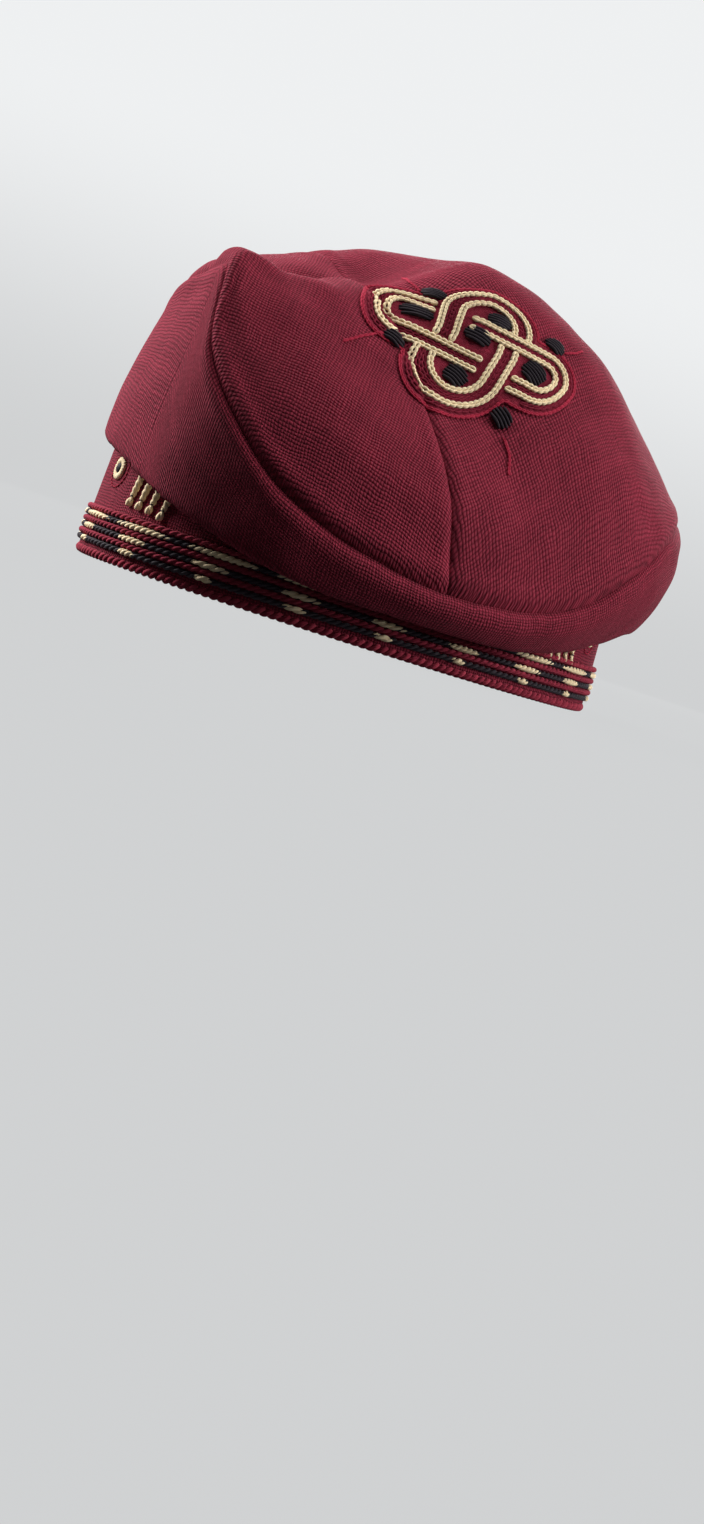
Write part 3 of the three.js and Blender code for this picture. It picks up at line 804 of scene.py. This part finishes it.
cream, black, red = [], [], []
for degrees, side, up in MOTIFS:
    eye(degrees, up)
    for k in range(STROKES):
        x = side * (STROKE_START + STROKE_PITCH * k)
        low = up - STROKE_FOOT - 0.3 * k + chance.uniform(-0.3, 0.3)
        finger(degrees, x, STROKE_LEAN * side, low, up + STROKE_TIP + chance.uniform(-0.5, 0.5))
finish_piece(patches("band_motifs_cream", cream, cream_thread), None)
finish_piece(patches("band_motifs_black", black, black_thread), None)
finish_piece(patches("band_motifs_red", red, red_thread), None)


# Knot: its ground, chain-stitched lines, black spots and tails
def cast_tree(objects):
    points, faces = [], []
    for o in objects:
        first = len(points)
        points += [v.co.copy() for v in o.data.vertices]
        faces += [[first + k for k in face.vertices] for face in o.data.polygons]
    return BVHTree.FromPolygons(points, faces)


top_tree = cast_tree((crown_front, crown_back))
knot_normal = KNOT_NORMAL / np.linalg.norm(KNOT_NORMAL)
knot_level = unit(np.cross((0, 0, 1), knot_normal))
knot_uphill = np.cross(knot_normal, knot_level)
knot_turn = math.radians(KNOT_TURN)
knot_x = KNOT_STRETCH[0] * (knot_level * math.cos(knot_turn) - knot_uphill * math.sin(knot_turn))
knot_y = KNOT_STRETCH[1] * (knot_level * math.sin(knot_turn) + knot_uphill * math.cos(knot_turn))


def laid(x, y):
    """Place of the flat pattern as it lies over the crest, pressed together there and drawn out below."""
    right, left, uphill, downhill = max(x, 0), max(-x, 0), max(y, 0), min(y, 0)
    pressed = PRESS_UPHILL * uphill ** 2 + PRESS_CORNER * uphill * left
    return (
        x - PRESS_RIGHT * right ** 2 + SLANT_BELOW * downhill,
        y - pressed + DRAW_BELOW * downhill - SHIFT_BELOW,
    )


def on_top(x, y, lift):
    """Point of the top's outer face behind a place of the knot's flat pattern, and the normal there."""
    x, y = laid(x, y)
    hit, shrink = None, 1.0
    while hit is None:
        flat = KNOT_CENTRE + shrink * (x * knot_x + y * knot_y)
        toward = unit(0.75 * unit(flat - CAMERA_PLACE) - 0.25 * knot_normal)
        hit, normal, _, _ = top_tree.ray_cast(Vector(to_part(flat - 60 * toward)), Vector(toward))
        shrink -= 0.02
    normal = np.array(normal)
    if normal @ toward > 0:
        normal = -normal
    return np.array(hit) * 1000 + ORIGIN + (CLOTH_WALL / 2 + lift) * normal, normal


def top_path(plan, lift):
    lift = np.broadcast_to(lift, len(plan))
    found = [on_top(x, y, up) for (x, y), up in zip(plan, lift)]
    return np.array([p for p, _ in found]), np.array([n for _, n in found])


def walk(plan, step):
    """Even points along a line in the pattern's plane, with the direction to its left."""
    plan = np.asarray(plan, float)
    total = np.linalg.norm(np.diff(plan, axis=0), axis=1).sum()
    even = evenly(plan, max(3, int(round(total / step)) + 1))
    along = np.gradient(even, axis=0)
    along /= np.linalg.norm(along, axis=1, keepdims=True)
    return even, along, np.stack([-along[:, 1], along[:, 0]], axis=1)


def chain(plan, pitch, half, thickness, lift):
    """Line of chain stitches: each is a loop of two threads that opens out and closes again."""
    even, along, left = walk(plan, pitch)
    made = []
    steps = np.linspace(0, 1, 8)
    spread = np.sin(steps * math.pi) ** 0.6
    for k in range(len(even) - 1):
        for side in (-1, 1):
            forward, aside = along[k] * pitch * 1.22, left[k] * side * half
            line = [even[k] + forward * s + aside * w for s, w in zip(steps, spread)]
            rise = lift + thickness * 0.35 * np.sin(steps * math.pi)
            path, normals = top_path(line, rise)
            made.append(tube(path, normals, thickness * (0.55 + 0.45 * pointed(8)), sides=6))
    return made


def turned(plan, sign):
    return [(sign * x, sign * y) for x, y in plan]


def u_line(centre, radius, heading, first_leg, last_leg):
    """Leg, half circle and leg; heading is the direction that the U bulges towards, in degrees."""
    forward = np.array((math.cos(math.radians(heading)), math.sin(math.radians(heading))))
    aside = radius * np.array((-forward[1], forward[0]))
    middle = np.asarray(centre, float)
    turns = np.linspace(0, math.pi, 25)
    bend = [middle + aside * math.cos(t) + forward * radius * math.sin(t) for t in turns]
    return [middle + aside - forward * first_leg, *bend, middle - aside - forward * last_leg]


def leaf(share):
    """Outline of the ground, two crossed capsules, at a share of its reach from the middle."""
    outline = []
    for t in np.linspace(0, 2 * math.pi, 161):
        toward = np.array((math.cos(t), math.sin(t)))
        reach = 0.0
        for half, radius in GROUND_CAPSULES:
            for s in np.linspace(-1, 1, 25):
                middle = np.array(half) * s
                along = toward @ middle
                inside = radius ** 2 - (middle @ middle - along ** 2)
                if inside > 0:
                    reach = max(reach, along + math.sqrt(inside))
        outline.append(toward * reach * share)
    return outline


ground_rows = []
for share in GROUND_SHARES:
    rise = -0.5 if share > 1.01 else 0.2 if share > 0.99 else 0.45
    ground_rows.append(top_path(leaf(share), rise)[0])
ground_rows = np.array(ground_rows)
ground_flat = np.array([leaf(share) for share in GROUND_SHARES])
ground = patches("knot_ground_stitches", [ground_rows], red_ground, [ground_flat])
finish_piece(ground, "knot_ground")

lines, filling = [], []
for sign in (1, -1):
    for radius, last_leg in ((9.0, 0.5), (14.5, 1.0)):
        lines += chain(turned(u_line(LOWER_LOOP, radius, -90, 14.6, last_leg), sign), *CREAM_LINE)
    for radius in (5.6, 10.2):
        lines += chain(turned(u_line(RIGHT_LOOP, radius, 0, 28.5, 8.5), sign), *CREAM_LINE)
    for radius, first_leg, last_leg in ((10.9, 13.6, 0.5), (12.6, 13.6, 0.5), (16.4, -2.0, -4.0)):
        filling += chain(turned(u_line(LOWER_LOOP, radius, -90, first_leg, last_leg), sign), *FILLING_LINE)
    for radius, first_leg, last_leg in ((7.9, 27.5, 7.5), (12.3, 0.0, -1.0)):
        filling += chain(turned(u_line(RIGHT_LOOP, radius, 0, first_leg, last_leg), sign), *FILLING_LINE)
finish_piece(patches("knot_filling", filling, red_ground), None)
finish_piece(patches("knot_lines", lines, cream_thread), None)


def spot(x, y, length, width, heading):
    """Black spot of satin stitches that lie side by side."""
    turn = math.radians(heading)
    along = np.array((math.cos(turn), math.sin(turn)))
    left = np.array((-along[1], along[0]))
    count = int(width / SPOT_THREAD)
    made = []
    for k in range(count):
        place = (k + 0.5) / count * 2 - 1
        reach = length / 2 * math.sqrt(1 - abs(0.92 * place) ** 2.4) * (1 + 0.07 * chance.uniform(-1, 1))
        middle = np.array((x, y)) + left * place * width / 2
        steps = np.linspace(-1, 1, 11)
        line = [middle + along * reach * s for s in steps]
        path, normals = top_path(line, 0.45 + 0.75 * np.cos(steps * 1.4))
        made.append(tube(path, normals, 0.60 * (0.6 + 0.4 * pointed(11)), sides=8))
    return made


spots = []
for x, y, length, width, heading in SPOTS:
    spots += spot(x, y, length, width, heading)
finish_piece(patches("knot_spots", spots, black_thread), None)

edging = chain(leaf(1.0), *EDGE_LINE)
for tail in TAILS:
    edging += chain(tail, *TAIL_LINE)
finish_piece(patches("knot_edging", edging, red_thread), None)


# Floor, light and camera
BACKDROP_REACH, BACKDROP_BEND, BACKDROP_HEIGHT = 3.2, 1.2, 4.5


def stage():
    """Pale floor that bends up into a backdrop behind the cap; it glows as painted light, brighter higher up
    the backdrop.
    """
    pale = bpy.data.materials.new("backdrop")
    pale.use_nodes = True
    net = Net(pale.node_tree)
    shader = next(n for n in net.tree.nodes if n.type == "BSDF_PRINCIPLED")
    output = next(n for n in net.tree.nodes if n.type == "OUTPUT_MATERIAL")
    net.tree.nodes.remove(shader)
    place = net.node("ShaderNodeTexCoord").outputs["Object"]
    height = net.node("ShaderNodeSeparateXYZ", {0: place}).outputs["Z"]
    # Painted light: the glow grows with height, from the floor to brighter higher up the backdrop
    rise = {"Value": height, "From Min": 0.0, "From Max": 0.75, "To Min": 0.64, "To Max": 0.88}
    glow = net.node("ShaderNodeMapRange", rise, interpolation_type="SMOOTHSTEP")
    light = net.node("ShaderNodeEmission", {"Color": (0.975, 0.99, 1.0, 1), "Strength": glow.outputs[0]})
    matte = net.node("ShaderNodeBsdfDiffuse", {"Color": (0.006, 0.006, 0.006, 1)})
    both = net.node("ShaderNodeAddShader", {0: light.outputs[0], 1: matte.outputs[0]})
    net.tree.links.new(both.outputs[0], output.inputs["Surface"])
    start = BACKDROP_REACH - BACKDROP_BEND
    profile = [(-BACKDROP_REACH, 0.0), (-1.0, 0.0), (0.0, 0.0), (1.0, 0.0), (start, 0.0)]
    for t in np.linspace(0, math.pi / 2, 13)[1:]:
        profile.append((start + BACKDROP_BEND * math.sin(t), BACKDROP_BEND * (1 - math.cos(t))))
    profile.append((BACKDROP_REACH, BACKDROP_HEIGHT))
    heading = np.array((-0.644, 0.765, 0.0))
    side = np.array((0.765, 0.644, 0.0))
    rows = np.array([
        [1000 * (y * heading + x * side + np.array((0, 0, z))) + ORIGIN for x in np.linspace(-5, 5, 3)]
        for y, z in profile
    ])
    floor = patches("floor", [rows], pale)
    floor.visible_diffuse = False


def softbox(name, place, size, power):
    """Area lamp at a place in metres that faces the middle of the cap."""
    data = bpy.data.lights.new(name, "AREA")
    data.shape = "RECTANGLE"
    data.size, data.size_y = size
    data.energy = power
    lamp = bpy.data.objects.new(name, data)
    lamp.location = place
    lamp.rotation_mode = "QUATERNION"
    lamp.rotation_quaternion = (Vector((0, 0, 0.08)) - Vector(place)).to_track_quat("-Z", "Y")
    bpy.context.scene.collection.objects.link(lamp)


stage()
softbox("left", (-1.35, -0.6, 0.75), (0.7, 0.7), 54)
softbox("back", (-0.7, 1.2, 0.55), (1.0, 0.6), 26)
softbox("right", (1.15, 0.9, 0.6), (0.8, 0.8), 24)
softbox("above", (-0.05, -0.15, 1.9), (0.8, 0.8), 24)

world = bpy.data.worlds.new("studio")
bpy.context.scene.world = world
world.use_nodes = True
sky = next(n for n in world.node_tree.nodes if n.type == "BACKGROUND")
sky.inputs["Color"].default_value = (0.90, 0.94, 1.0, 1)
sky.inputs["Strength"].default_value = 0.06

# Camera: directions in the cap's frame, the tip downwards that moves the picture up by LOOK_SHIFT pixels, and
# the focal length in pixels of a picture PICTURE_HEIGHT tall
FOCAL, PICTURE_HEIGHT, LOOK_SHIFT = 2009, 1524, 40
right = Vector((0.71312, 0.62787, 0.31183)).normalized()
ahead = Vector((-0.64238, 0.76337, -0.06799)).normalized()
tip = math.atan(LOOK_SHIFT / FOCAL)
raised = right.cross(ahead).normalized()
look = (ahead * math.cos(tip) - raised * math.sin(tip)).normalized()
raised = right.cross(look).normalized()
camera_data = bpy.data.cameras.new("camera")
camera_data.sensor_width = 36
camera_data.lens = camera_data.sensor_width * FOCAL / PICTURE_HEIGHT
camera_data.clip_start, camera_data.clip_end = 0.01, 30
camera = bpy.data.objects.new("camera", camera_data)
bpy.context.scene.collection.objects.link(camera)
camera.matrix_world = Matrix((
    *((right[k], raised[k], -look[k], to_part(CAMERA_PLACE)[k]) for k in range(3)),
    (0, 0, 0, 1),
))
bpy.context.scene.camera = camera
bpy.context.scene.view_settings.view_transform = "Standard"
